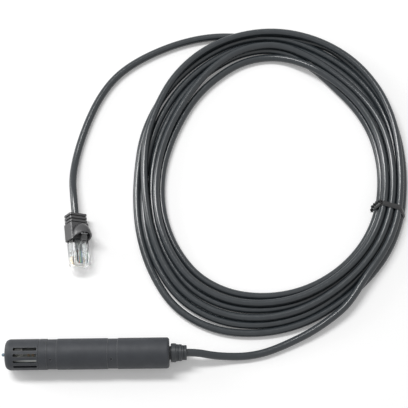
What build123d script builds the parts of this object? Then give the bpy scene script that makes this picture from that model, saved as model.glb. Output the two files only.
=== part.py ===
from build123d import *
import os
from math import cos, pi, radians, sin, tan

# Rack temperature sensor lying on a flat surface: a three-section slotted probe with a
# circuit board inside, its cable in a tied coil, and a booted modular plug.
# Millimetres, +Z up, probe axis along X with the tip towards -X, origin under its middle.

# Probe housing, lengths along the axis
cap_length = 31.6
middle_length = 37.0
rear_length = 31.6
barrel_radius = 9.5
barrel_wall = 1.6
front_wall = 2.0
end_wall = 2.2
nose_radius = 3.3
end_radius = 1.6
shoulder_chamfer = 0.35
fit_gap = 0.05
cut_past = 1.0

# Snap joint between two sections: a neck in a socket, with bumps in round windows
neck_length = 6.5
neck_wall = 1.35
neck_web = 1.8
band_length = 6.0
band_depth = 0.3
window_radius = 0.8
window_back = 3.5
bump_sink = 0.45
snap_angle = 36.0
snap_count = 2

# Air slots round the cap
slot_start = 5.4
slot_width = 2.0
slot_corner = 0.5
slot_first = -6.0
slot_pitch = 24.0
slots_per_group = 4
slot_groups = 2
slot_to_groove = 0.7
groove_to_band = 4.4
ring_groove_width = 0.7
ring_groove_depth = 0.25

# Temperature bead in the nose
bead_radius = 1.0
bead_reach = 2.6
bead_length = 6.2
bead_lead_radius = 0.22
bead_lead_pitch = 1.1
bead_lead_length = 2.2

# Circuit board and what stands on it
board_start = 4.4
board_past_joint = 12.5
board_thickness = 1.2
board_groove = 0.45
board_corner = 1.0
element_start = 6.0
element_length = 4.6
element_width = 3.8
element_side = 1.4
element_height = 5.4
vent_radius = 1.1
vent_depth = 0.3
chip_start = 22.5
chip_length = 4.9
chip_width = 3.9
chip_height = 1.5
leg_reach = 1.05
leg_thickness = 0.2
leg_width = 0.42
leg_pitch = 1.27
legs_per_side = 4
element_legs_per_side = 2
capacitor_start = 13.4
capacitor_size = (1.25, 2.0, 1.2)
capacitor_pitch = 2.6
capacitor_count = 2
resistor_start = 29.2
resistor_size = (0.8, 1.6, 0.5)
resistor_pitch = 1.5
resistor_count = 3
chip_edge = 0.12
dimple_radius = 0.4
dimple_inset = 1.0
solder_size = (1.2, 0.9, 0.8)
solder_edge = 0.25

# Cable and its cores
cable_radius = 2.4
core_radius = 0.45
core_pitch = 1.02
core_colours = ["black", "red", "green", "blue"]
core_bare_length = 4.0
jacket_inside = 6.0
corner_share = 0.45
lead_straight = 6.0

# Ribbed strain relief: inner flange, neck in the wall, then tapering rings
relief_flange_radius = 5.6
relief_flange_thickness = 1.6
relief_neck_radius = 4.2
relief_collar = 1.0
ring_radii = [5.85, 5.2, 4.65]
ring_lengths = [3.2, 2.4, 1.9]
ring_gap = 1.1
ring_gap_depth = 0.55
ring_edge = 0.35

# Coil: ring round an ellipse, and the tie round its right side
coil_centre = (111.3, 118.0)
coil_turn = 78.5
coil_outer_major = 109.6
coil_outer_minor = 89.4
coil_inner_major = 82.0
coil_inner_minor = 67.8
coil_height = 11.0
coil_edge = 2.4
tie_centre = (187.5, 92.6)
tie_angle = -20.0
tie_inner_width = 20.4
tie_thickness = 0.8
tie_width = 3.0
tie_corner = 4.0
knot_inset = 3.4
knot_radius = 1.3
knot_height = 2.8
knot_edge = 0.65
twist_width = 2.2
twist_thickness = 1.1
twist_length = 7.2
twist_steps = 9
twist_step_turn = 40.0
twist_heading = -149.0
twist_drop = 6.0

# Plug: where it lies, how it is rolled, and its sizes along the nose direction
plug_rear = (-13.78, 91.67)
plug_heading = -84.0
plug_roll = 36.0
boot_length = 17.6
boot_width = 13.3
boot_height = 9.1
boot_corner = 0.9
boot_rib_length = 1.3
boot_rib_gap = 0.9
boot_rib_count = 3
boot_rib_inset = 0.45
boot_gap_inset = 1.3
boot_grip = 4.4
hood_length = 10.0
hood_radius = 6.3
hood_lift = 1.2
hood_wall = 1.1
hood_lip = 3.0
hood_sill = 0.5
body_length = 21.5
body_width = 11.7
body_height = 6.6
body_edge = 0.6
latch_width = 6.4
latch_tail_width = 4.2
latch_thickness = 1.1
latch_root = 1.8
latch_slit = 0.4
latch_shoulder = 12.4
latch_tail = 19.4
latch_rise = 4.4
jacket_cavity_width = 8.4
jacket_cavity_height = 5.2
jacket_cavity_length = 11.5
wire_cavity_height = 1.3
wire_stop = 2.6
contact_count = 8
contact_thickness = 0.34
contact_start = 1.1
contact_length = 5.6
contact_sink = 0.35
contact_corner = 0.8
jacket_grip = 11.0
boot_lead = 12.5

# Places worked out from the sizes above
barrels_length = cap_length + middle_length + rear_length
rings_length = sum(ring_lengths) + ring_gap * (len(ring_lengths) - 1)
relief_length = relief_collar + rings_length
probe_length = bead_reach + barrels_length + relief_length
tip_x = bead_reach - probe_length / 2
axis_z = barrel_radius
bore_radius = barrel_radius - barrel_wall
cut_foot = bore_radius - cut_past
neck_radius = bore_radius - fit_gap
neck_bore = neck_radius - neck_wall
joint_one = cap_length
joint_two = cap_length + middle_length
band_start = cap_length - band_length
groove_end = band_start - groove_to_band
ring_groove_at = groove_end - ring_groove_width
slot_length = ring_groove_at - slot_to_groove - slot_start
board_top = -core_radius
board_half_width = neck_bore + board_groove
board_end = joint_one + board_past_joint
relief_x = tip_x + barrels_length + relief_length
probe_axis = Axis((tip_x, 0, axis_z), (1, 0, 0))
probe_plane = Plane(origin=(tip_x, 0, axis_z), x_dir=(1, 0, 0), z_dir=(0, -1, 0))
step_folder = "parts"


def radial_plane(along, angle, radius):
    """Plane facing outwards from the probe axis, angle measured from the top towards -Y."""
    out = Vector(0, -sin(radians(angle)), cos(radians(angle)))
    origin = Vector(tip_x + along, 0, axis_z) + out * radius
    return Plane(origin=origin, x_dir=(1, 0, 0), z_dir=out)


def deck_plane(along, side=0.0):
    """Plane on top of the circuit board at a distance from the tip."""
    return Plane(origin=(tip_x + along, side, axis_z + board_top))


def across_plane(along, side=0.0, height=0.0):
    """Plane square to the probe axis, facing the cable end."""
    return Plane(
        origin=(tip_x + along, side, axis_z + height), x_dir=(0, 1, 0), z_dir=(1, 0, 0)
    )


def save(piece, name):
    """Label a finished piece and write it as a STEP file."""
    piece.part.label = name
    export_step(piece.part, f"{step_folder}/{name}.step")


def corner_radii(points):
    """Largest tidy arc at each corner: a share of the shorter run over tan of half the turn."""
    radii = []
    for before, corner, after in zip(points, points[1:], points[2:]):
        run_in = Vector(*corner) - Vector(*before)
        run_out = Vector(*after) - Vector(*corner)
        half_turn = radians(run_in.get_angle(run_out) / 2)
        radii.append(corner_share * min(run_in.length, run_out.length) / tan(half_turn))
    return radii


os.makedirs(step_folder, exist_ok=True)
snap_angles = [snap_angle + 360.0 / snap_count * turn for turn in range(snap_count)]
slot_angles = [
    slot_first + 360.0 / slot_groups * group + slot_pitch * step
    for group in range(slot_groups)
    for step in range(slots_per_group)
]

# Slotted cap with a rounded nose, a bead hole and a banded socket
with BuildPart() as sensor_cap:
    with BuildSketch(probe_plane):
        with BuildLine():
            groove_floor = barrel_radius - ring_groove_depth
            band_radius = barrel_radius - band_depth
            Polyline(
                (0, barrel_radius - nose_radius),
                (0, bead_radius + fit_gap),
                (front_wall, bead_radius + fit_gap),
                (front_wall, bore_radius),
                (cap_length, bore_radius),
                (cap_length, band_radius),
                (band_start, band_radius),
                (band_start, barrel_radius),
                (groove_end, barrel_radius),
                (groove_end - ring_groove_width / 2, groove_floor),
                (ring_groove_at, barrel_radius),
                (nose_radius, barrel_radius),
            )
            RadiusArc((nose_radius, barrel_radius), (0, barrel_radius - nose_radius), -nose_radius)
        make_face()
    revolve(axis=probe_axis)
    for angle in slot_angles:
        with BuildSketch(radial_plane(slot_start + slot_length / 2, angle, cut_foot)):
            RectangleRounded(slot_length, slot_width, slot_corner)
        extrude(amount=barrel_wall + 2 * cut_past, mode=Mode.SUBTRACT)
    for angle in snap_angles:
        with BuildSketch(radial_plane(cap_length - window_back, angle, cut_foot)):
            Circle(window_radius)
        extrude(amount=barrel_wall + 2 * cut_past, mode=Mode.SUBTRACT)
save(sensor_cap, "sensor_cap")


def add_snap_bumps(joint):
    """Round bumps on a neck that click into the windows of the section in front."""
    bump_top = barrel_radius - band_depth - bump_sink
    bump_foot = neck_radius - neck_wall / 2
    for angle in snap_angles:
        with BuildSketch(radial_plane(joint - window_back, angle, bump_foot)) as bump:
            Circle(window_radius - fit_gap)
        extrude(bump.sketch, amount=bump_top - bump_foot)


# Middle barrel: neck with board grooves in front, banded socket behind
with BuildPart() as middle_barrel:
    with BuildSketch(probe_plane):
        with BuildLine():
            Polyline(
                (joint_one - neck_length, neck_bore),
                (joint_one - neck_length, neck_radius),
                (joint_one, neck_radius),
                (joint_one, barrel_radius - shoulder_chamfer),
                (joint_one + shoulder_chamfer, barrel_radius),
                (joint_two - band_length, barrel_radius),
                (joint_two - band_length, barrel_radius - band_depth),
                (joint_two, barrel_radius - band_depth),
                (joint_two, bore_radius),
                (joint_one + neck_web, bore_radius),
                (joint_one + neck_web, neck_bore),
                close=True,
            )
        make_face()
    revolve(axis=probe_axis)
    add_snap_bumps(joint_one)
    groove_height = board_thickness + 2 * fit_gap
    groove_middle = board_top - board_thickness / 2
    with BuildSketch(across_plane(joint_one - neck_length, height=groove_middle)):
        Rectangle(2 * (board_half_width + fit_gap), groove_height)
    extrude(amount=neck_length + neck_web, mode=Mode.SUBTRACT)
    for angle in snap_angles:
        with BuildSketch(radial_plane(joint_two - window_back, angle, cut_foot)):
            Circle(window_radius)
        extrude(amount=barrel_wall + 2 * cut_past, mode=Mode.SUBTRACT)
save(middle_barrel, "middle_barrel")

# Rear barrel: neck in front, end wall with the strain relief's hole behind
with BuildPart() as rear_barrel:
    with BuildSketch(probe_plane):
        with BuildLine():
            Polyline(
                (barrels_length - end_radius, barrel_radius),
                (joint_two + shoulder_chamfer, barrel_radius),
                (joint_two, barrel_radius - shoulder_chamfer),
                (joint_two, neck_radius),
                (joint_two - neck_length, neck_radius),
                (joint_two - neck_length, neck_bore),
                (joint_two + neck_web, neck_bore),
                (joint_two + neck_web, bore_radius),
                (barrels_length - end_wall, bore_radius),
                (barrels_length - end_wall, relief_neck_radius + fit_gap),
                (barrels_length, relief_neck_radius + fit_gap),
                (barrels_length, barrel_radius - end_radius),
            )
            RadiusArc(
                (barrels_length, barrel_radius - end_radius),
                (barrels_length - end_radius, barrel_radius),
                -end_radius,
            )
        make_face()
    revolve(axis=probe_axis)
    add_snap_bumps(joint_two)
save(rear_barrel, "rear_barrel")

# Circuit board seated in the grooves of the middle barrel's neck
with BuildPart() as circuit_board:
    board_length = board_end - board_start
    with BuildSketch(deck_plane(board_start + board_length / 2)):
        RectangleRounded(board_length, 2 * board_half_width, board_corner)
    extrude(amount=-board_thickness)
save(circuit_board, "circuit_board")

# White sensing element with its round vent
with BuildPart() as sensing_element:
    element_deck = deck_plane(element_start + element_length / 2, element_side)
    with BuildSketch(element_deck):
        Rectangle(element_length, element_width)
    extrude(amount=element_height)
    fillet(sensing_element.edges().group_by(Axis.Z)[-1], chip_edge)
    with BuildSketch(element_deck.offset(element_height)):
        Circle(vent_radius)
    extrude(amount=-vent_depth, mode=Mode.SUBTRACT)
save(sensing_element, "sensing_element")


def add_gull_legs(middle, body_width, body_height, per_side, body_side=0.0):
    """Rows of bent legs on both long sides of a chip, feet flat on the board."""
    shoulder = body_height / 2
    for side in (-1, 1):
        for index in range(per_side):
            along = middle + (index - (per_side - 1) / 2) * leg_pitch
            start = side * body_width / 2
            knee = start + side * leg_reach / 2
            toe = start + side * leg_reach
            foot_plane = across_plane(along - leg_width / 2, body_side, board_top)
            with BuildSketch(foot_plane) as leg:
                with BuildLine():
                    Polyline(
                        (start, shoulder + leg_thickness / 2),
                        (knee, shoulder + leg_thickness / 2),
                        (knee, leg_thickness),
                        (toe, leg_thickness),
                        (toe, 0),
                        (knee - side * leg_thickness, 0),
                        (knee - side * leg_thickness, shoulder - leg_thickness / 2),
                        (start, shoulder - leg_thickness / 2),
                        close=True,
                    )
                make_face()
            extrude(leg.sketch, amount=leg_width)


# Legs of the sensing element
with BuildPart() as element_pins:
    add_gull_legs(
        element_start + element_length / 2,
        element_width,
        element_height,
        element_legs_per_side,
        element_side,
    )
save(element_pins, "element_pins")

# Dipped temperature bead through the nose
with BuildPart() as thermistor_bead:
    with BuildSketch(probe_plane):
        with BuildLine():
            bead_back = bead_length - bead_reach
            Polyline(
                (bead_radius - bead_reach, bead_radius),
                (bead_back, bead_radius),
                (bead_back, 0),
                (-bead_reach, 0),
            )
            RadiusArc((-bead_reach, 0), (bead_radius - bead_reach, bead_radius), bead_radius)
        make_face()
    revolve(axis=probe_axis)
save(thermistor_bead, "thermistor_bead")

# Two bead leads that lie on the front of the board
with BuildPart() as thermistor_leads:
    for side in (-bead_lead_pitch / 2, bead_lead_pitch / 2):
        with BuildSketch(across_plane(bead_back, side, board_top + bead_lead_radius)):
            Circle(bead_lead_radius)
        extrude(amount=bead_lead_length)
save(thermistor_leads, "thermistor_leads")

# Interface chip with a pin-one dimple
with BuildPart() as interface_chip:
    chip_middle = chip_start + chip_length / 2
    with BuildSketch(deck_plane(chip_middle)):
        Rectangle(chip_length, chip_width)
    extrude(amount=chip_height)
    chamfer(interface_chip.edges().group_by(Axis.Z)[-1], chip_edge)
    dimple_side = chip_width / 2 - dimple_inset
    with BuildSketch(deck_plane(chip_start + dimple_inset, dimple_side).offset(chip_height)):
        Circle(dimple_radius)
    extrude(amount=-chip_edge, mode=Mode.SUBTRACT)
save(interface_chip, "interface_chip")

# Legs of the interface chip
with BuildPart() as chip_legs:
    add_gull_legs(chip_middle, chip_width, chip_height, legs_per_side)
save(chip_legs, "chip_legs")


def add_chip_row(start, size, pitch, count):
    """A row of small block components across the board."""
    for index in range(count):
        along = start + size[0] / 2 + index * pitch
        with BuildSketch(deck_plane(along)) as block:
            RectangleRounded(size[0], size[1], chip_edge)
        extrude(block.sketch, amount=size[2])


# Block capacitors behind the sensing element
with BuildPart() as chip_capacitors:
    add_chip_row(capacitor_start, capacitor_size, capacitor_pitch, capacitor_count)
save(chip_capacitors, "chip_capacitors")

# Block resistors behind the interface chip
with BuildPart() as chip_resistors:
    add_chip_row(resistor_start, resistor_size, resistor_pitch, resistor_count)
save(chip_resistors, "chip_resistors")

# Solder joints in front of the core ends
core_start = board_end - core_bare_length
core_sides = [
    (index - (len(core_colours) - 1) / 2) * core_pitch for index in range(len(core_colours))
]
with BuildPart() as solder_joints:
    for side in core_sides:
        with BuildSketch(deck_plane(core_start - solder_size[0] / 2, side)):
            Rectangle(solder_size[0], solder_size[1])
        extrude(amount=solder_size[2])
    fillet(solder_joints.edges().group_by(Axis.Z)[-1], solder_edge)
save(solder_joints, "solder_joints")

# Cores from the board to the cable jacket
jacket_start = barrels_length - end_wall - relief_flange_thickness - jacket_inside
for colour, side in zip(core_colours, core_sides):
    with BuildPart() as probe_core:
        with BuildSketch(across_plane(core_start, side)):
            Circle(core_radius)
        extrude(amount=jacket_start - core_start)
    save(probe_core, f"probe_core_{colour}")

# Strain relief clamped in the end wall, with ribbed rings outside
with BuildPart() as strain_relief:
    relief_bore = cable_radius + fit_gap
    flange_back = barrels_length - end_wall
    outline = [
        (flange_back - relief_flange_thickness, relief_bore),
        (flange_back - relief_flange_thickness, relief_flange_radius),
        (flange_back, relief_flange_radius),
        (flange_back, relief_neck_radius),
        (barrels_length + relief_collar, relief_neck_radius),
    ]
    ring_start = barrels_length + relief_collar
    for radius, length in zip(ring_radii, ring_lengths):
        ring_end = ring_start + length
        outline += [
            (ring_start, radius - ring_edge),
            (ring_start + ring_edge, radius),
            (ring_end - ring_edge, radius),
            (ring_end, radius - ring_edge),
        ]
        if radius != ring_radii[-1]:
            waist = radius - ring_gap_depth
            outline += [(ring_end, waist), (ring_end + ring_gap, waist)]
        ring_start = ring_end + ring_gap
    outline.append((ring_end, relief_bore))
    with BuildSketch(probe_plane):
        with BuildLine():
            Polyline(*outline, close=True)
        make_face()
    revolve(axis=probe_axis)
save(strain_relief, "strain_relief")

# Jacket inside the strain relief
with BuildPart() as jacket_probe_end:
    with BuildSketch(across_plane(jacket_start)):
        Circle(cable_radius)
    extrude(amount=barrels_length + relief_length - jacket_start)
save(jacket_probe_end, "jacket_probe_end")

# Plug frame: x towards the nose, y across, z out of the latch face
nose_dir = Vector(cos(radians(plug_heading)), sin(radians(plug_heading)), 0)
level_dir = Vector(-nose_dir.Y, nose_dir.X, 0)
latch_dir = Vector(0, 0, 1) * cos(radians(plug_roll)) + level_dir * sin(radians(plug_roll))
half_boot = boot_width / 2 * sin(radians(plug_roll)) + boot_height / 2 * cos(radians(plug_roll))
corner_lift = boot_corner * (sin(radians(plug_roll)) + cos(radians(plug_roll)) - 1)
plug_height = half_boot - corner_lift
plug_origin = Vector(plug_rear[0], plug_rear[1], plug_height)
side_dir = latch_dir.cross(nose_dir)


def plug_section(along, rise=0.0):
    """Plane square to the plug's length: x across the plug, y out of the latch face."""
    origin = plug_origin + nose_dir * along + latch_dir * rise
    return Plane(origin=origin, x_dir=side_dir, z_dir=nose_dir)


plug_side = Plane(origin=plug_origin, x_dir=nose_dir, z_dir=side_dir * -1)

# Route of the two free stretches of cable, chosen by hand
lead_points = [
    (relief_x, 0.0, axis_z),
    (relief_x + lead_straight, 0.0, axis_z),
    (73.0, -0.7, 6.4),
    (83.5, -1.3, 3.1),
    (94.5, -1.0, 2.4),
    (106.5, 1.4, 2.4),
    (119.5, 5.6, 2.6),
    (133.0, 11.4, 3.4),
    (146.5, 19.8, 4.6),
    (158.5, 30.2, 5.6),
]
boot_exit = plug_origin - nose_dir * boot_lead
tail_points = [
    (106.0, 219.6, 3.6),
    (91.0, 220.7, 3.2),
    (74.0, 220.0, 2.4),
    (56.0, 216.7, 2.4),
    (38.5, 210.0, 2.4),
    (22.5, 201.2, 2.4),
    (10.0, 190.6, 2.4),
    (0.3, 176.5, 2.4),
    (-6.8, 161.0, 2.4),
    (-12.0, 144.8, 2.4),
    (-14.9, 130.5, 2.7),
    (-16.0, 117.0, 4.8),
    (boot_exit.X, boot_exit.Y, boot_exit.Z),
    (plug_origin.X, plug_origin.Y, plug_origin.Z),
]

# Lead from the strain relief to the coil
with BuildPart() as cable_lead:
    with BuildLine() as lead_path:
        FilletPolyline(*lead_points, radius=corner_radii(lead_points))
    with BuildSketch(Plane(origin=lead_path.line @ 0, z_dir=lead_path.line % 0)):
        Circle(cable_radius)
    sweep()
save(cable_lead, "cable_lead")

# Tail from the coil to the plug
with BuildPart() as cable_tail:
    with BuildLine() as tail_path:
        FilletPolyline(*tail_points, radius=corner_radii(tail_points))
    with BuildSketch(Plane(origin=tail_path.line @ 0, z_dir=tail_path.line % 0)):
        Circle(cable_radius)
    sweep()
save(cable_tail, "cable_tail")

# Coil of many turns as one ring, waisted where the tie holds it
tie_dir = Vector(cos(radians(tie_angle)), sin(radians(tie_angle)), 0)
tie_plane = Plane(
    origin=(tie_centre[0], tie_centre[1], coil_height / 2),
    x_dir=tie_dir,
    z_dir=Vector(tie_dir.Y, -tie_dir.X, 0),
)
tie_inner_height = coil_height - 2 * tie_thickness
coil_plane = Plane(
    origin=(coil_centre[0], coil_centre[1], 0),
    x_dir=(cos(radians(coil_turn)), sin(radians(coil_turn)), 0),
    z_dir=(0, 0, 1),
)
with BuildPart() as cable_coil:
    with BuildSketch(coil_plane):
        Ellipse(coil_outer_major, coil_outer_minor)
        Ellipse(coil_inner_major, coil_inner_minor, mode=Mode.SUBTRACT)
    extrude(amount=coil_height)
    chamfer(cable_coil.edges().group_by(Axis.Z)[0], coil_edge)
    chamfer(cable_coil.edges().group_by(Axis.Z)[-1], coil_edge)
    with BuildSketch(tie_plane):
        Rectangle(2 * tie_inner_width, 2 * coil_height)
        RectangleRounded(tie_inner_width, tie_inner_height, tie_corner, mode=Mode.SUBTRACT)
    extrude(amount=tie_width / 2, both=True, mode=Mode.SUBTRACT)
    add(cable_lead.part, mode=Mode.SUBTRACT)
    add(cable_tail.part, mode=Mode.SUBTRACT)
save(cable_coil, "cable_coil")

# Tie: a band round the coil, its two ends twisted together on the inner side
knot_foot = Vector(tie_centre[0], tie_centre[1], coil_height - tie_thickness / 2)
knot_foot = knot_foot - tie_dir * (tie_inner_width / 2 - knot_inset)
twist_foot = Vector(knot_foot.X, knot_foot.Y, coil_height + knot_height - knot_edge)
twist_level = Vector(cos(radians(twist_heading)), sin(radians(twist_heading)), 0)
twist_dir = twist_level * cos(radians(twist_drop)) - Vector(0, 0, sin(radians(twist_drop)))
with BuildPart() as twist_tie:
    with BuildSketch(tie_plane):
        RectangleRounded(
            tie_inner_width + 2 * tie_thickness, coil_height, tie_corner + tie_thickness
        )
        RectangleRounded(tie_inner_width, tie_inner_height, tie_corner, mode=Mode.SUBTRACT)
    extrude(amount=tie_width / 2, both=True)
    with BuildSketch(Plane(origin=knot_foot)):
        Circle(knot_radius)
    extrude(amount=knot_height + tie_thickness / 2)
    fillet(twist_tie.edges().group_by(Axis.Z)[-1], knot_edge)
    for step in range(twist_steps + 1):
        section_at = Plane(
            origin=twist_foot + twist_dir * (twist_length * step / twist_steps), z_dir=twist_dir
        )
        with BuildSketch(section_at):
            Rectangle(twist_width, twist_thickness, rotation=twist_step_turn * step)
    loft(ruled=True)
save(twist_tie, "twist_tie")

# Boot: ribbed collar, box and snagless hood, hollow for the plug's rear end
boot_collar = boot_rib_count * (boot_rib_length + boot_rib_gap)
body_start = boot_length - boot_grip
body_end = body_start + body_length
hood_rise = boot_height / 2 + hood_lift
hood_axis = Axis(plug_origin + latch_dir * hood_rise, nose_dir)


def add_dome(length, radius):
    """Quarter ellipse over the plug, turned about the hood's own axis."""
    with BuildSketch(plug_side) as dome:
        with BuildLine():
            EllipticalCenterArc((boot_length, hood_rise), length, radius, 90, arc_size=90)
            Polyline(
                (boot_length - length, hood_rise),
                (boot_length, hood_rise),
                (boot_length, hood_rise + radius),
            )
        make_face()
    revolve(dome.sketch, axis=hood_axis)


with BuildPart() as hood_form:
    add_dome(hood_length, hood_radius)
    with BuildSketch(plug_side):
        with BuildLine():
            Polyline(
                (boot_length - hood_lip, hood_rise + hood_radius),
                (boot_length, boot_height / 2 + hood_sill),
                (boot_length, hood_rise + hood_radius),
                close=True,
            )
        make_face()
    extrude(amount=hood_radius, both=True, mode=Mode.SUBTRACT)
with BuildPart() as hood_hollow:
    add_dome(hood_length - 2 * hood_wall, hood_radius - hood_wall)
    hood_base = Plane(
        origin=plug_origin + latch_dir * (boot_height / 2), x_dir=nose_dir, z_dir=latch_dir
    )
    split(bisect_by=hood_base, keep=Keep.TOP)
with BuildPart() as plug_boot:
    for index in range(boot_rib_count):
        rib_at = index * (boot_rib_length + boot_rib_gap)
        with BuildSketch(plug_section(rib_at)):
            RectangleRounded(
                boot_width - 2 * boot_rib_inset, boot_height - 2 * boot_rib_inset, boot_corner
            )
        extrude(amount=boot_rib_length)
        with BuildSketch(plug_section(rib_at + boot_rib_length)):
            RectangleRounded(
                boot_width - 2 * boot_gap_inset, boot_height - 2 * boot_gap_inset, boot_corner
            )
        extrude(amount=boot_rib_gap)
    with BuildSketch(plug_section(boot_collar)):
        RectangleRounded(boot_width, boot_height, boot_corner)
    extrude(amount=boot_length - boot_collar)
    add(hood_form.part)
    with BuildSketch(plug_section(0)):
        Circle(cable_radius + fit_gap)
    extrude(amount=body_start, mode=Mode.SUBTRACT)
    with BuildSketch(plug_section(body_start)):
        Rectangle(body_width + 2 * fit_gap, body_height + 2 * fit_gap)
    extrude(amount=boot_grip, mode=Mode.SUBTRACT)
    add(hood_hollow.part, mode=Mode.SUBTRACT)
save(plug_boot, "plug_boot")

# Jacket inside the boot and the rear of the plug
jacket_end = body_start + jacket_grip
with BuildPart() as jacket_plug_end:
    with BuildSketch(plug_section(0)):
        Circle(cable_radius)
    extrude(amount=jacket_end)
save(jacket_plug_end, "jacket_plug_end")

# Contact blades seen from the side, and the slots that hold them
contact_sides = [(index - (contact_count - 1) / 2) * core_pitch for index in range(contact_count)]
blade_front = body_end - contact_start
blade_foot = contact_sink - body_height / 2
with BuildSketch(plug_side) as blade_profile:
    with BuildLine():
        Polyline(
            (blade_front - contact_length, -core_radius),
            (blade_front, -core_radius),
            (blade_front, blade_foot + contact_corner),
            (blade_front - contact_corner, blade_foot),
            (blade_front - contact_length, blade_foot),
            close=True,
        )
    make_face()
with BuildPart() as plug_contacts:
    for side in contact_sides:
        blade = blade_profile.sketch.moved(Location(side_dir * (side + contact_thickness / 2)))
        extrude(blade, amount=contact_thickness, dir=side_dir * -1)
save(plug_contacts, "plug_contacts")

# Clear plug with its latch in one moulding
with BuildPart() as plug_body:
    with BuildSketch(plug_section(body_start)):
        Rectangle(body_width, body_height)
    extrude(amount=body_length)
    front_edges = plug_body.faces().sort_by(Axis(plug_origin, nose_dir))[-1].edges()
    chamfer(front_edges, body_edge)
    with BuildSketch(plug_side):
        with BuildLine():
            top = body_height / 2
            root = body_end - latch_root
            tail = body_end - latch_tail
            Polyline(
                (body_end - body_edge, top - body_edge),
                (body_end - body_edge, top + latch_slit),
                (root, top + latch_slit + latch_thickness),
                (tail, top + latch_rise + latch_thickness),
                (tail, top + latch_rise),
                (root - latch_root, top + latch_slit),
                (root - latch_root, top - body_edge),
                close=True,
            )
        make_face()
    extrude(amount=latch_width / 2, both=True)
    for side in (-1, 1):
        edge_middle = side * (latch_width + latch_tail_width) / 4
        notch = plug_section(tail, top + latch_slit / 2)
        with BuildSketch(notch):
            with Locations((edge_middle, 0)):
                Rectangle(
                    (latch_width - latch_tail_width) / 2,
                    latch_rise + 2 * latch_thickness,
                    align=(Align.CENTER, Align.MIN),
                )
        extrude(amount=latch_tail - latch_shoulder, mode=Mode.SUBTRACT)
    with BuildSketch(plug_section(body_start)):
        Rectangle(jacket_cavity_width, jacket_cavity_height)
    extrude(amount=jacket_cavity_length, mode=Mode.SUBTRACT)
    with BuildSketch(plug_section(body_start)):
        Rectangle(contact_count * core_pitch, wire_cavity_height)
    extrude(amount=body_length - wire_stop, mode=Mode.SUBTRACT)
    for side in contact_sides:
        with BuildSketch(plug_section(blade_front - contact_length - fit_gap)):
            with Locations((side, 0)):
                Rectangle(
                    contact_thickness + 2 * fit_gap, body_height, align=(Align.CENTER, Align.MAX)
                )
        extrude(amount=contact_length + 2 * fit_gap, mode=Mode.SUBTRACT)
save(plug_body, "plug_body")

# Cores from the jacket into the plug
for colour, side in zip(core_colours, core_sides):
    with BuildPart() as plug_core:
        with BuildSketch(plug_section(jacket_end)):
            with Locations((side, 0)):
                Circle(core_radius)
        extrude(amount=body_end - wire_stop - fit_gap - jacket_end)
    save(plug_core, f"plug_core_{colour}")

# Route report: arc radii, lengths, and volume over section times length
for name, points, path, tube in (
    ("lead", lead_points, lead_path, cable_lead),
    ("tail", tail_points, tail_path, cable_tail),
):
    length = path.wires()[0].length
    share = tube.part.volume / (pi * cable_radius**2 * length)
    print(name, "radii", [round(radius, 1) for radius in corner_radii(points)])
    print(name, "length", round(length, 1), "volume share", round(share, 4))
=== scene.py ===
"""Looks of a rack temperature sensor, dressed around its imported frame.

The probe lies on a pale floor with its slotted tip to the left, its one long cable is laid in a
tied coil behind it, and the clear modular plug lies beside the coil. Metres, +Z up.
"""

import logging
import math
from collections.abc import Sequence
from dataclasses import dataclass, field
from enum import Enum

import bmesh
import bpy
from mathutils import Matrix, Vector

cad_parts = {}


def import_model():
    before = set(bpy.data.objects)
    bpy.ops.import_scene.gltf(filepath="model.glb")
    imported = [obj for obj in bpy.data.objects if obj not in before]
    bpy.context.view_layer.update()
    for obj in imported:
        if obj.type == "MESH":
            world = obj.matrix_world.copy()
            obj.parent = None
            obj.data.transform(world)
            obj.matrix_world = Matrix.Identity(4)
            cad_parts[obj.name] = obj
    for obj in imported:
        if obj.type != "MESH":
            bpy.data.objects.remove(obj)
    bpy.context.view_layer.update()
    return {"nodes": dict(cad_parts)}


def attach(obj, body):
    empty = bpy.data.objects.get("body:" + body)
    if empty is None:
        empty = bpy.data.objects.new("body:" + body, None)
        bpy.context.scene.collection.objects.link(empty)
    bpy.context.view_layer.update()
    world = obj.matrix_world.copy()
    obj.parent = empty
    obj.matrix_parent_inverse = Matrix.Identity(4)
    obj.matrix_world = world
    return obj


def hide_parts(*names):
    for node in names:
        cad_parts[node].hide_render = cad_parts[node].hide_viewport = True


LOG = logging.getLogger("rack_temperature_sensor")
ROOT = "root"
MM = 0.001
FULL_TURN = 360.0
WHITE = (1.0, 1.0, 1.0, 1.0)

# Sockets of a Mix node in its colour mode, where names alone don't tell them apart
MIX_FIRST = 6
MIX_SECOND = 7
MIX_RESULT = 2

# Layers and roughness of the noise, and the span in which most of its values lie
MOTTLE_DETAIL = 4.0
GRAIN_DETAIL = 3.0
NOISE_ROUGHNESS = 0.55
NOISE_LOW = 0.3
NOISE_HIGH = 0.7

# Cosines between the rounded and the true normal where the painted edge highlight starts and is
# full
EDGE_STARTS = 0.98
EDGE_FULL = 0.8
EDGE_SAMPLES = 6

# Keeps the last point of a line inside its last span
JUST_SHORT = 1e-6

Colour = tuple[float, float, float]
Point = tuple[float, float, float]
Socket = bpy.types.NodeSocket


class Rays(Enum):
    """Kinds of ray for which the floor and the world show their plain white."""

    CAMERA = "Is Camera Ray"
    GLOSSY = "Is Glossy Ray"
    TRANSMISSION = "Is Transmission Ray"


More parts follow.
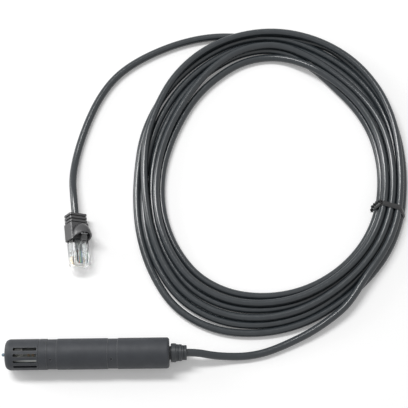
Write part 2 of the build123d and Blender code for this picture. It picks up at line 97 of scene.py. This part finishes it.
class Graph:
    """A material's or world's node tree, with short calls to add and join nodes."""

    def __init__(self, tree: bpy.types.NodeTree) -> None:
        """Start from an empty tree.

        Args:
            tree: The node tree to fill.
        """
        self.tree = tree
        tree.nodes.clear()

    def add(self, kind: str, **values: object) -> bpy.types.Node:
        """Add one node and set its attributes and unlinked sockets.

        Args:
            kind: The node's type name, without its ShaderNode prefix.
            values: Attribute names, or socket names with _ for spaces, and their values.

        Returns:
            The new node.
        """
        node = self.tree.nodes.new("ShaderNode" + kind)
        for key, value in values.items():
            if hasattr(node, key):
                setattr(node, key, value)
            else:
                node.inputs[key.replace("_", " ")].default_value = value
        return node

    def join(self, start: Socket, end: Socket) -> None:
        """Link an output socket to an input socket."""
        self.tree.links.new(start, end)

    def noise(self, size: float, detail: float) -> Socket:
        """Noise in the object's own coordinates.

        Args:
            size: Size of one blotch, in metres.
            detail: Layers of finer noise.

        Returns:
            The noise's value socket.
        """
        place = self.add("TexCoord")
        noise = self.add("TexNoise", Scale=1.0 / size, Detail=detail, Roughness=NOISE_ROUGHNESS)
        self.join(place.outputs["Object"], noise.inputs["Vector"])
        return noise.outputs["Fac"]

    def spread(self, value: Socket, low: float, high: float) -> Socket:
        """Map a noise value to a range.

        Args:
            value: The socket to map.
            low: Result at a dark spot of the noise.
            high: Result at a bright spot of the noise.

        Returns:
            The mapped socket.
        """
        node = self.add(
            "MapRange", From_Min=NOISE_LOW, From_Max=NOISE_HIGH, To_Min=low, To_Max=high
        )
        self.join(value, node.inputs["Value"])
        return node.outputs["Result"]

    def blend(self, value: Socket, first: Colour, second: Colour) -> Socket:
        """Mix two colours by a value.

        Args:
            value: Share of the second colour.
            first: Colour at 0.
            second: Colour at 1.

        Returns:
            The mixed colour's socket.
        """
        node = self.add("Mix", data_type="RGBA")
        node.inputs[MIX_FIRST].default_value = (*first, 1.0)
        node.inputs[MIX_SECOND].default_value = (*second, 1.0)
        self.join(value, node.inputs["Factor"])
        return node.outputs[MIX_RESULT]

    def painted_edge_highlight(self, tone: Socket, edge: Colour, reach: float) -> Socket:
        """Lighten a tone along the piece's edges with a painted highlight, as where edges catch
        the light.

        Args:
            tone: The colour away from the edges.
            edge: The colour of the painted highlight on an edge.
            reach: How far from an edge the painted highlight starts, in metres.

        Returns:
            The colour's socket.
        """
        rounded = self.add("Bevel", samples=EDGE_SAMPLES, Radius=reach)
        true = self.add("NewGeometry")
        facing = self.add("VectorMath", operation="DOT_PRODUCT")
        self.join(rounded.outputs["Normal"], facing.inputs[0])
        self.join(true.outputs["Normal"], facing.inputs[1])
        away = self.add("MapRange", From_Min=EDGE_STARTS, From_Max=EDGE_FULL)
        self.join(facing.outputs["Value"], away.inputs["Value"])
        mix = self.add("Mix", data_type="RGBA")
        self.join(away.outputs["Result"], mix.inputs["Factor"])
        self.join(tone, mix.inputs[MIX_FIRST])
        mix.inputs[MIX_SECOND].default_value = (*edge, 1.0)
        return mix.outputs[MIX_RESULT]


@dataclass(frozen=True)
class Finish:
    """A surface finish: two tones, gloss, a grain that stands in relief, and a painted highlight
    along the edges.

    Sizes are in metres. Only a finish with an edge colour gets the painted edge highlight.
    """

    name: str
    slot: str
    colour: Colour
    shade: Colour
    roughness: float = 0.5
    roughness_spread: float = 0.08
    mottle_size: float = 0.006
    grain_size: float = 0.0004
    grain_height: float = 0.00002
    grain_strength: float = 0.3
    metallic: float = 0.0
    transmission: float = 0.0
    ior: float = 1.5
    coat: float = 0.0
    coat_roughness: float = 0.2
    # Colour of the painted highlight along the edges, and how far from an edge it reaches
    edge: Colour | None = None
    edge_highlight_reach: float = 0.0004

    def build(self) -> bpy.types.Material:
        """Make the node material of this finish.

        Returns:
            The new material.
        """
        material = bpy.data.materials.new(self.name)
        material.use_nodes = True
        graph = Graph(material.node_tree)
        shader = graph.add(
            "BsdfPrincipled",
            Metallic=self.metallic,
            IOR=self.ior,
            Transmission_Weight=self.transmission,
            Coat_Weight=self.coat,
            Coat_Roughness=self.coat_roughness,
        )
        output = graph.add("OutputMaterial")
        mottle = graph.noise(self.mottle_size, MOTTLE_DETAIL)
        tone = graph.blend(graph.spread(mottle, 0.0, 1.0), self.colour, self.shade)
        # The edge colour is a painted highlight: the edges are lightened as if they caught the
        # light
        if self.edge:
            tone = graph.painted_edge_highlight(tone, self.edge, self.edge_highlight_reach)
        graph.join(tone, shader.inputs["Base Color"])
        low = self.roughness - self.roughness_spread
        high = self.roughness + self.roughness_spread
        graph.join(graph.spread(mottle, low, high), shader.inputs["Roughness"])
        bump = graph.add("Bump", Strength=self.grain_strength, Distance=self.grain_height)
        graph.join(graph.noise(self.grain_size, GRAIN_DETAIL), bump.inputs["Height"])
        graph.join(bump.outputs["Normal"], shader.inputs["Normal"])
        graph.join(shader.outputs["BSDF"], output.inputs["Surface"])
        return material


# The probe's edge colour paints a highlight along all its edges: joints, slot rims and end rims
PROBE_PLASTIC = Finish(
    "probe_moulded_plastic", "probe_plastic", (0.027, 0.0305, 0.037), (0.022, 0.025, 0.0305),
    roughness=0.58, roughness_spread=0.05, grain_size=0.00035, grain_strength=0.35,
    edge=(0.14, 0.145, 0.15),
)
RELIEF_RUBBER = Finish(
    "strain_relief_rubber", "relief_rubber", (0.026, 0.03, 0.034), (0.021, 0.0245, 0.028),
    roughness=0.42, roughness_spread=0.06,
)
JACKET = Finish(
    "cable_jacket", "cable_jacket", (0.025, 0.031, 0.036), (0.03, 0.0365, 0.042),
    roughness=0.2, roughness_spread=0.03, mottle_size=0.004, grain_size=0.0009,
    grain_strength=0.05,
)
TIE_FILM = Finish(
    "tie_film", "tie_plastic", (0.016, 0.017, 0.018), (0.022, 0.023, 0.024), roughness=0.22,
)
BOOT_PLASTIC = Finish(
    "boot_plastic", "boot_plastic", (0.036, 0.036, 0.039), (0.03, 0.03, 0.033), roughness=0.34,
    ior=1.7,
)
PLUG_CLEAR = Finish(
    "plug_clear_plastic", "plug_clear", (0.95, 0.96, 0.96), (0.9, 0.92, 0.92), roughness=0.06,
    roughness_spread=0.04, transmission=1.0, ior=1.2, grain_strength=0.1, coat=0.6,
    coat_roughness=0.05,
)
CONTACT_GOLD = Finish(
    "contact_gold", "contact_gold", (0.6, 0.49, 0.34), (0.52, 0.42, 0.28), roughness=0.5,
    metallic=1.0,
)
BEAD_RESIN = Finish(
    "bead_resin", "bead_resin", (0.12, 0.19, 0.24), (0.09, 0.14, 0.19), roughness=0.25,
)
ELEMENT_WHITE = Finish(
    "element_white", "element_white", (0.86, 0.86, 0.84), (0.8, 0.8, 0.78), roughness=0.5,
)
BOARD_MASK = Finish(
    "board_mask", "board_mask", (0.5, 0.52, 0.5), (0.42, 0.44, 0.42), roughness=0.4,
)
CHIP_BLACK = Finish(
    "chip_black", "chip_black", (0.03, 0.03, 0.032), (0.04, 0.04, 0.042), roughness=0.55,
)
CAPACITOR_TAN = Finish(
    "capacitor_tan", "capacitor_tan", (0.5, 0.38, 0.24), (0.42, 0.31, 0.2), roughness=0.5,
)
TINNED = Finish(
    "tinned_metal", "tinned_metal", (0.72, 0.72, 0.7), (0.62, 0.62, 0.6), roughness=0.3,
    metallic=1.0,
)
CORE_TONES: dict[str, tuple[Colour, Colour]] = {
    "black": ((0.03, 0.03, 0.03), (0.04, 0.04, 0.04)),
    "red": ((0.58, 0.24, 0.2), (0.5, 0.2, 0.17)),
    "green": ((0.3, 0.52, 0.36), (0.26, 0.46, 0.31)),
    "blue": ((0.32, 0.42, 0.62), (0.28, 0.37, 0.56)),
}


def core_finish(colour: str) -> Finish:
    """Finish of one cable core.

    Args:
        colour: The core's colour word.

    Returns:
        The core's finish.
    """
    tone, shade = CORE_TONES[colour]
    return Finish(f"core_{colour}", f"core_{colour}", tone, shade, roughness=0.35)


NODE_FINISHES: dict[str, Finish] = {
    "sensor_cap": PROBE_PLASTIC,
    "middle_barrel": PROBE_PLASTIC,
    "rear_barrel": PROBE_PLASTIC,
    "strain_relief": RELIEF_RUBBER,
    "thermistor_bead": BEAD_RESIN,
    "thermistor_leads": TINNED,
    "sensing_element": ELEMENT_WHITE,
    "element_pins": TINNED,
    "circuit_board": BOARD_MASK,
    "interface_chip": CHIP_BLACK,
    "chip_legs": TINNED,
    "chip_capacitors": CAPACITOR_TAN,
    "chip_resistors": CHIP_BLACK,
    "solder_joints": TINNED,
    "jacket_probe_end": JACKET,
    "jacket_plug_end": JACKET,
    "plug_boot": BOOT_PLASTIC,
    "plug_body": PLUG_CLEAR,
    "plug_contacts": CONTACT_GOLD,
}


class Dresser:
    """Gives every carried-over node its finish, and each finish one material."""

    def __init__(self, nodes: dict[str, bpy.types.Object]) -> None:
        """Keep the frame's nodes.

        Args:
            nodes: The frame's node objects by name.
        """
        self.nodes = nodes
        self.made: dict[str, bpy.types.Material] = {}

    def material(self, finish: Finish) -> bpy.types.Material:
        """The material of a finish, made on first use.

        Args:
            finish: The finish wanted.

        Returns:
            Its material.
        """
        if finish.name not in self.made:
            self.made[finish.name] = finish.build()
        return self.made[finish.name]

    def paint(self, piece: bpy.types.Object, finish: Finish) -> None:
        """Put a finish on a piece in place of what it had.

        Args:
            piece: The object to paint.
            finish: Its finish.
        """
        piece.data.materials.clear()
        piece.data.materials.append(self.material(finish))

    def dress_nodes(self) -> None:
        """Paint every node of the frame that stays in view."""
        finishes = dict(NODE_FINISHES)
        for colour in CORE_TONES:
            finishes[f"probe_core_{colour}"] = core_finish(colour)
            finishes[f"plug_core_{colour}"] = core_finish(colour)
        for name, finish in finishes.items():
            self.paint(self.nodes[name], finish)
            LOG.info("%s wears %s", name, finish.name)


@dataclass(frozen=True)
class Station:
    """Reach of the coil at one bearing, and where its two middle floor lanes lie across it."""

    bearing: float
    inner: float
    outer: float
    second: float = 0.333
    third: float = 0.667


@dataclass(frozen=True)
class LaneMark:
    """Lane that the cable holds at one bearing, counted over all turns from the lead on."""

    bearing: float
    lane: float


@dataclass
class Cable:
    """The one cable: a lead from the strain relief, a tied coil, and a tail to the plug.

    The coil lies in two layers. From the lead the upper turns step inwards, drop to the floor at
    the inner edge, and the floor turns step outwards under them until the tail leaves the coil.
    Sizes and points are in millimetres, bearings in degrees, and the length is in metres.
    """

    radius: float = 2.4
    length: float = 3.83
    centre: tuple[float, float] = (111.3, 117.8)
    stations: tuple[Station, ...] = (
        Station(0, 70.6, 89.9),
        Station(30, 73.4, 96.1),
        Station(60, 77.4, 105.4),
        Station(90, 86.0, 108.4),
        Station(120, 75.9, 101.9),
        Station(150, 67.5, 92.6),
        Station(180, 68.0, 88.4, 0.35, 0.712),
        Station(210, 73.5, 97.4, 0.37, 0.768),
        Station(240, 80.4, 111.6, 0.37, 0.748),
        Station(270, 78.6, 106.5, 0.38, 0.795),
        Station(300, 75.0, 96.8, 0.35, 0.72),
        Station(330, 72.2, 92.7),
    )
    lanes: tuple[LaneMark, ...] = (
        LaneMark(-50, 2.6),
        LaneMark(5, 2.5),
        LaneMark(40, 3.0),
        LaneMark(115, 3.0),
        LaneMark(150, 2.6),
        LaneMark(205, 1.5),
        LaneMark(270, 1.58),
        LaneMark(370, 1.5),
        LaneMark(420, 0.96),
        LaneMark(450, 1.45),
        LaneMark(465, 1.12),
        LaneMark(490, 0.6),
        LaneMark(630, 0.6),
        LaneMark(735, 0.5),
        LaneMark(780, 0.33),
        LaneMark(795, 0.2),
        LaneMark(825, 0.0),
        LaneMark(1130, 0.0),
        LaneMark(1155, 0.6),
        LaneMark(1170, 1.2),
        LaneMark(1185, 0.97),
        LaneMark(1215, 1.15),
        LaneMark(1245, 1.2),
        LaneMark(1285, 1.0),
        LaneMark(1430, 1.0),
        LaneMark(1475, 1.65),
        LaneMark(1505, 1.55),
        LaneMark(1530, 1.76),
        LaneMark(1560, 1.75),
        LaneMark(1590, 1.95),
        LaneMark(1635, 2.0),
        LaneMark(1790, 2.0),
        LaneMark(1835, 2.38),
        LaneMark(1865, 2.2),
        LaneMark(1890, 2.62),
        LaneMark(1920, 2.55),
        LaneMark(1965, 3.0),
        LaneMark(2165, 3.0),
        LaneMark(2220, 2.85),
        LaneMark(2235, 3.3),
    )
    floor_from: float = 800.0
    step: float = 15.0
    tie_bearing: float = -17.0
    tie_lift: float = 0.8
    tie_hold: float = 12.0
    lead: tuple[Point, ...] = (
        (56.75, 0.0, 9.5),
        (62.75, 0.0, 9.5),
        (73.0, -1.2, 5.9),
        (83.5, -1.3, 3.1),
        (94.5, -1.0, 2.4),
        (106.5, 1.4, 2.4),
        (119.5, 6.6, 2.6),
        (133.0, 12.9, 3.4),
        (146.5, 21.4, 4.6),
        (158.5, 31.3, 5.6),
    )
    tail: tuple[Point, ...] = (
        (91.0, 221.5, 2.6),
        (74.0, 221.5, 2.4),
        (56.0, 217.7, 2.4),
        (38.5, 210.9, 2.4),
        (22.3, 201.9, 2.4),
        (9.6, 191.1, 2.4),
        (0.0, 176.7, 2.4),
        (-6.8, 161.0, 2.4),
        (-12.0, 144.8, 2.4),
        (-15.2, 130.5, 2.7),
        (-16.4, 117.0, 4.8),
        (-15.087, 104.102, 7.233),
        (-13.78, 91.67, 7.233),
    )
    curve_steps: int = 6
    bevel_steps: int = 6
    line: list[Vector] = field(default_factory=list, init=False)

    def station(self, bearing: float) -> Station:
        """The coil's reach and lanes at any bearing, smooth between the stations.

        Args:
            bearing: Direction from the coil's centre, in degrees from +X.

        Returns:
            A station at that bearing.
        """
        count = len(self.stations)
        place = (bearing % FULL_TURN) / FULL_TURN * count
        index = int(place)
        around = [self.stations[(index + offset) % count] for offset in (-1, 0, 1, 2)]
        names = ("inner", "outer", "second", "third")
        values = [
            smooth_through([getattr(spot, name) for spot in around], place - index)
            for name in names
        ]
        return Station(bearing, *values)

    def lane(self, bearing: float) -> float:
        """Lane of the cable at a bearing, eased between the marks.

        Args:
            bearing: Bearing counted over all turns, in degrees.

        Returns:
            The lane, 0 at the coil's inner edge and 3 at its outer one.
        """
        for start, end in zip(self.lanes, self.lanes[1:]):
            if bearing <= end.bearing:
                share = ease((bearing - start.bearing) / (end.bearing - start.bearing))
                return start.lane + (end.lane - start.lane) * share
        return self.lanes[-1].lane

    def across(self, bearing: float) -> float:
        """Distance from the coil's centre to the cable's middle.

        Args:
            bearing: Bearing counted over all turns, in degrees.

        Returns:
            The distance in millimetres.
        """
        spot = self.station(bearing)
        lane = self.lane(bearing)
        stops = (0.0, spot.second, spot.third, 1.0)
        below = min(int(lane), len(stops) - 2)
        share = stops[below] + (stops[below + 1] - stops[below]) * (lane - below)
        return spot.inner + self.radius + share * (spot.outer - spot.inner - 2 * self.radius)

    def rest(self, bearing: float) -> float:
        """Rise of an upper turn over the floor turns that it lies on.

        Args:
            bearing: Bearing of the upper turn, counted over all turns.

        Returns:
            The rise in millimetres, 0 on the floor.
        """
        diameter = 2 * self.radius
        away = self.across(bearing)
        rise = 0.0
        below = bearing
        while below <= self.lanes[-1].bearing:
            gap = abs(away - self.across(below))
            if below > self.floor_from and gap < diameter:
                rise = max(rise, math.sqrt(diameter**2 - gap**2))
            below += FULL_TURN
        return rise

    def height(self, bearing: float) -> float:
        """Height of the cable's middle over the floor.

        Args:
            bearing: Bearing counted over all turns, in degrees.

        Returns:
            The height in millimetres.
        """
        half = FULL_TURN / 2
        off = (bearing - self.tie_bearing + half) % FULL_TURN - half
        level = self.radius + self.tie_lift * math.exp(-((off / self.tie_hold) ** 2))
        if bearing < self.floor_from:
            near = (bearing - self.step, bearing, bearing + self.step)
            level += sum(self.rest(spot) for spot in near) / len(near)
        return level

    def lay_turns(self) -> list[Point]:
        """Control points of the coil's turns, from the lead to the tail.

        Returns:
            Points in millimetres.
        """
        first, last = self.lanes[0].bearing, self.lanes[-1].bearing
        turns = []
        for index in range(round((last - first) / self.step) + 1):
            bearing = first + self.step * index
            away = self.across(bearing)
            angle = math.radians(bearing)
            turns.append(
                (
                    self.centre[0] + away * math.cos(angle),
                    self.centre[1] + away * math.sin(angle),
                    self.height(bearing),
                )
            )
        return turns

    def build(self, dresser: Dresser) -> bpy.types.Object:
        """Make the cable as one smooth curve, and keep its middle line.

        Args:
            dresser: Gives the jacket's material.

        Returns:
            The cable's object.
        """
        points = [*self.lead, *self.lay_turns(), *self.tail]
        curve = bpy.data.curves.new("cable", "CURVE")
        curve.dimensions = "3D"
        curve.resolution_u = self.curve_steps
        spline = curve.splines.new("NURBS")
        spline.points.add(len(points) - 1)
        for control, point in zip(spline.points, points):
            control.co = (point[0] * MM, point[1] * MM, point[2] * MM, 1.0)
        spline.order_u = 3
        spline.use_endpoint_u = True
        cable = bpy.data.objects.new("cable", curve)
        bpy.context.scene.collection.objects.link(cable)
        line = bpy.data.meshes.new_from_object(cable)
        self.line = [vertex.co / MM for vertex in line.vertices]
        bpy.data.meshes.remove(line)
        curve.bevel_depth = self.radius * MM
        curve.bevel_resolution = self.bevel_steps
        curve.use_fill_caps = True
        dresser.paint(cable, JACKET)
        return cable

    def crossings(self, bearing: float) -> list[tuple[float, float]]:
        """Where the turns pass one bearing.

        Args:
            bearing: Direction from the coil's centre, in degrees from +X.

        Returns:
            Distance from the centre and height of each pass, in millimetres.
        """
        angle = math.radians(bearing)
        out = Vector((math.cos(angle), math.sin(angle), 0.0))
        along = Vector((-math.sin(angle), math.cos(angle), 0.0))
        middle = Vector((*self.centre, 0.0))
        passes = []
        for start, end in zip(self.line, self.line[1:]):
            before = (start - middle).dot(along)
            after = (end - middle).dot(along)
            if before < 0.0 <= after and (start - middle).dot(out) > 0.0:
                spot = start.lerp(end, before / (before - after)) - middle
                passes.append((spot.dot(out), spot.z))
        return passes

    def declare(self, cable: bpy.types.Object) -> None:
        """Hang the cable on the root and hide the frame's cable nodes that it stands in for.

        Args:
            cable: The cable's object.
        """
        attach(cable, ROOT)
        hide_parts("cable_lead", "cable_coil", "cable_tail")


@dataclass
class TieWrap:
    """The twist tie: a film band with a wire in its middle, drawn round the turns and twisted.

    Sizes and points are in millimetres. The film's edge, and the foot and top of the rib over
    the wire, are shares of the width out from the middle.
    """

    bearing: float = -17.2
    bow: float = 2.0
    width: float = 3.4
    film: float = 0.16
    wire: float = 0.4
    film_edge: float = 0.44
    rib_foot: float = 0.16
    rib_top: float = 0.07
    steps: int = 84
    tail: tuple[Point, ...] = (
        (182.2, 97.8, 10.4),
        (180.4, 97.2, 11.0),
        (178.2, 96.0, 10.2),
        (176.3, 94.2, 8.4),
        (176.0, 91.4, 6.8),
    )
    tail_radius: float = 0.62
    tail_twist: float = 0.58
    tail_swell: float = 0.5
    swell_reach: float = 0.4
    tail_turns: float = 3.5
    tail_steps: int = 70
    sides: int = 10

    def section(self) -> list[tuple[float, float]]:
        """Outline of the band.

        Returns:
            Place along the cable and height over the band's middle, for each point.
        """
        outer = [
            (-0.5, 0.0),
            (-self.film_edge, self.film),
            (-self.rib_foot, self.film),
            (-self.rib_top, self.wire),
        ]
        upper = outer + [(-place, rise) for place, rise in reversed(outer)]
        lower = [(place, -self.film) for place in (self.film_edge, 0.0, -self.film_edge)]
        return [(place * self.width, rise) for place, rise in upper + lower]

    def band(self, cable: Cable) -> list[list[Vector]]:
        """Rings of points round the turns, as a taut band lies.

        Args:
            cable: The cable that the tie holds.

        Returns:
            One ring of section points for each step round the turns.
        """
        passes = cable.crossings(self.bearing)
        angle = math.radians(self.bearing)
        out = Vector((math.cos(angle), math.sin(angle), 0.0))
        along = Vector((-math.sin(angle), math.cos(angle), 0.0))
        middle = Vector((*cable.centre, 0.0))
        near, far = min(passes)[0], max(passes)[0]
        lift = cable.radius + self.film
        section = self.section()
        rings = []
        for index in range(self.steps):
            turn = 2 * math.pi * index / self.steps
            facing = (math.cos(turn), math.sin(turn))
            held = max(passes, key=lambda spot: spot[0] * facing[0] + spot[1] * facing[1])
            reach = held[0] + lift * facing[0]
            height = held[1] + lift * facing[1]
            share = (reach - near) / (far - near)
            # The band bows out along the cable most at the middle of the bundle
            slide = self.bow * 4 * share * (1 - share)
            rings.append(
                [
                    middle
                    + out * (reach + rise * facing[0])
                    + along * (place + slide)
                    + Vector((0.0, 0.0, height + rise * facing[1]))
                    for place, rise in section
                ]
            )
        return rings

    def strand(self, start_turn: float) -> list[list[Vector]]:
        """Rings of points along one of the two twisted ends.

        Args:
            start_turn: Where round the other end this one starts, in radians.

        Returns:
            One ring for each step along the end.
        """
        spans = len(self.tail) - 1
        line = []
        for index in range(self.tail_steps + 1):
            place = min(index / self.tail_steps * spans, spans - JUST_SHORT)
            span = int(place)
            around = [self.tail[min(max(span + offset, 0), spans)] for offset in (-1, 0, 1, 2)]
            share = place - span
            line.append(Vector([smooth_through(values, share) for values in zip(*around)]))
        rings = []
        for index, spot in enumerate(line):
            ahead = (line[min(index + 1, len(line) - 1)] - line[max(index - 1, 0)]).normalized()
            first = ahead.cross(Vector((0.0, 0.0, 1.0))).normalized()
            second = ahead.cross(first)
            turn = start_turn + 2 * math.pi * self.tail_turns * index / len(line)
            core = spot + (first * math.cos(turn) + second * math.sin(turn)) * self.tail_twist
            swell = 1 - ease(index / len(line) / self.swell_reach)
            radius = self.tail_radius * (1 + self.tail_swell * swell)
            rings.append(
                [
                    core + (first * math.cos(side) + second * math.sin(side)) * radius
                    for side in (2 * math.pi * step / self.sides for step in range(self.sides))
                ]
            )
        return rings

    def build(self, cable: Cable, dresser: Dresser) -> bpy.types.Object:
        """Make the band and its twisted ends as one mesh.

        Args:
            cable: The cable that the tie holds.
            dresser: Gives the film's material.

        Returns:
            The tie's object.
        """
        shape = bmesh.new()
        skin(shape, self.band(cable), closed=True)
        for start_turn in (0.0, math.pi):
            skin(shape, self.strand(start_turn), closed=False)
        bmesh.ops.recalc_face_normals(shape, faces=shape.faces)
        mesh = bpy.data.meshes.new("tie_wrap")
        shape.to_mesh(mesh)
        shape.free()
        mesh.shade_smooth()
        tie = bpy.data.objects.new("tie_wrap", mesh)
        bpy.context.scene.collection.objects.link(tie)
        dresser.paint(tie, TIE_FILM)
        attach(tie, ROOT)
        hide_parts("twist_tie")
        return tie


def skin(shape: bmesh.types.BMesh, rings: list[list[Vector]], closed: bool) -> None:
    """Skin rings of points, in millimetres, with faces.

    Args:
        shape: The mesh that gets the faces.
        rings: Rings with the same number of points.
        closed: Whether the last ring joins the first; if not, the ends are capped.
    """
    loops = [[shape.verts.new(point * MM) for point in ring] for ring in rings]
    pairs = list(zip(loops, loops[1:]))
    if closed:
        pairs.append((loops[-1], loops[0]))
    for first, second in pairs:
        for index in range(len(first)):
            after = (index + 1) % len(first)
            shape.faces.new((first[index], first[after], second[after], second[index]))
    if not closed:
        shape.faces.new(loops[0])
        shape.faces.new(loops[-1])


def smooth_through(values: Sequence[float], share: float) -> float:
    """Value on a smooth curve through four values, between the middle two.

    Args:
        values: Four values in a row.
        share: Place between the second and the third, from 0 to 1.

    Returns:
        The smooth value.
    """
    before, start, end, after = values
    slope_in = (end - before) / 2
    slope_out = (after - start) / 2
    square, cube = share**2, share**3
    return (
        (2 * cube - 3 * square + 1) * start
        + (cube - 2 * square + share) * slope_in
        + (3 * square - 2 * cube) * end
        + (cube - square) * slope_out
    )


def ease(share: float) -> float:
    """Smooth step from 0 to 1, held outside that range."""
    share = max(0.0, min(1.0, share))
    return share * share * (3 - 2 * share)


@dataclass(frozen=True)
class SoftBox:
    """One soft studio lamp, in metres and watts."""

    name: str
    place: Point
    aim: Point
    width: float
    depth: float
    power: float

    def hang(self) -> None:
        """Make the lamp."""
        light = bpy.data.lights.new(self.name, "AREA")
        light.shape = "RECTANGLE"
        light.size = self.width
        light.size_y = self.depth
        light.energy = self.power
        lamp = bpy.data.objects.new(self.name, light)
        bpy.context.scene.collection.objects.link(lamp)
        lamp.location = self.place
        toward = Vector(self.aim) - Vector(self.place)
        lamp.rotation_euler = toward.to_track_quat("-Z", "Y").to_euler()


@dataclass
class Studio:
    """Pale floor, soft lamps, white surround and the photograph's camera.

    Angles are in degrees, the lens and sensor in millimetres, other sizes in metres.
    """

    elevation: float = 69.0
    heading: float = -0.753
    distance: float = 0.85
    target: Point = (0.06865, 0.1011, 0.0)
    lens: float = 115.8
    sensor: float = 36.0
    floor_size: float = 6.0
    floor_tone: float = 0.93
    floor_glow: float = 0.16
    ambient: float = 0.4
    boxes: tuple[SoftBox, ...] = (
        SoftBox(
            "strip_light",
            place=(-1.05, 1.15, 2.4),
            aim=(-1.2, 0.1, 0.0),
            width=1.8,
            depth=0.46,
            power=54.0,
        ),
        SoftBox(
            "left_fill",
            place=(-0.75, 0.38, 0.24),
            aim=(0.05, 0.1, 0.0),
            width=0.42,
            depth=0.42,
            power=2.4,
        ),
    )

    def shows_white(self, graph: Graph) -> Socket:
        """Value that is 1 for the rays that see the plain white.

        Args:
            graph: The tree that needs it.

        Returns:
            The value's socket.
        """
        path = graph.add("LightPath")
        total = path.outputs[Rays.CAMERA.value]
        for kind in (Rays.GLOSSY, Rays.TRANSMISSION):
            node = graph.add("Math", operation="MAXIMUM")
            graph.join(total, node.inputs[0])
            graph.join(path.outputs[kind.value], node.inputs[1])
            total = node.outputs[0]
        return total

    def lay_floor(self) -> None:
        """Make the floor, which keeps the object's shadow and glows to the rays that see white."""
        half = self.floor_size / 2
        mesh = bpy.data.meshes.new("floor")
        outline = [(-half, -half, 0), (half, -half, 0), (half, half, 0), (-half, half, 0)]
        mesh.from_pydata(outline, [], [(0, 1, 2, 3)])
        floor = bpy.data.objects.new("floor", mesh)
        bpy.context.scene.collection.objects.link(floor)
        material = bpy.data.materials.new("floor_paper")
        material.use_nodes = True
        graph = Graph(material.node_tree)
        paper = graph.add("BsdfDiffuse", Color=(self.floor_tone,) * 3 + (1.0,))
        glow = graph.add("Emission")
        graph.join(self.scaled(graph, self.floor_glow), glow.inputs["Strength"])
        both = graph.add("AddShader")
        output = graph.add("OutputMaterial")
        graph.join(paper.outputs[0], both.inputs[0])
        graph.join(glow.outputs[0], both.inputs[1])
        graph.join(both.outputs[0], output.inputs["Surface"])
        mesh.materials.append(material)

    def scaled(self, graph: Graph, strength: float) -> Socket:
        """The white-seeing value times a strength.

        Args:
            graph: The tree that needs it.
            strength: Strength for the rays that see white.

        Returns:
            The value's socket.
        """
        node = graph.add("Math", operation="MULTIPLY")
        graph.join(self.shows_white(graph), node.inputs[0])
        node.inputs[1].default_value = strength
        return node.outputs[0]

    def surround(self) -> None:
        """Set the world: white to the camera, gloss and clear plastic, a softer grey as light."""
        world = bpy.data.worlds.new("surround")
        bpy.context.scene.world = world
        world.use_nodes = True
        graph = Graph(world.node_tree)
        light = graph.add("Background", Color=WHITE, Strength=self.ambient)
        white = graph.add("Background", Color=WHITE, Strength=1.0)
        mix = graph.add("MixShader")
        output = graph.add("OutputWorld")
        graph.join(self.shows_white(graph), mix.inputs[0])
        graph.join(light.outputs[0], mix.inputs[1])
        graph.join(white.outputs[0], mix.inputs[2])
        graph.join(mix.outputs[0], output.inputs["Surface"])

    def place_camera(self) -> None:
        """Set the camera at the photograph's view."""
        data = bpy.data.cameras.new("camera")
        data.sensor_width = self.sensor
        data.lens = self.lens
        camera = bpy.data.objects.new("camera", data)
        bpy.context.scene.collection.objects.link(camera)
        tilt, turn = math.radians(self.elevation), math.radians(self.heading)
        right = Vector((math.cos(turn), math.sin(turn), 0.0))
        back = Vector(
            (
                math.sin(turn) * math.cos(tilt),
                -math.cos(turn) * math.cos(tilt),
                math.sin(tilt),
            )
        )
        up = back.cross(right)
        place = Matrix((right, up, back)).transposed().to_4x4()
        place.translation = Vector(self.target) + back * self.distance
        camera.matrix_world = place
        bpy.context.scene.camera = camera

    def build(self) -> None:
        """Make the whole studio."""
        self.lay_floor()
        self.surround()
        for box in self.boxes:
            box.hang()
        self.place_camera()
        bpy.context.scene.view_settings.view_transform = "Standard"
        LOG.info("studio set with %d soft boxes", len(self.boxes))


def main() -> None:
    """Build the studio, dress the frame and lay the cable."""
    logging.basicConfig(level=logging.INFO)
    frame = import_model()
    nodes = frame["nodes"]
    Studio().build()
    dresser = Dresser(nodes)
    dresser.dress_nodes()
    plan = Cable()
    cable = plan.build(dresser)
    tie = TieWrap().build(plan, dresser)
    on_cable = ["plug_boot", "plug_body", "plug_contacts", "jacket_plug_end"]
    on_cable += [f"plug_core_{colour}" for colour in CORE_TONES]
    plan.declare(cable)
    LOG.info("%s laid and held by %s", cable.name, tie.name)


if __name__ == "__main__":
    main()
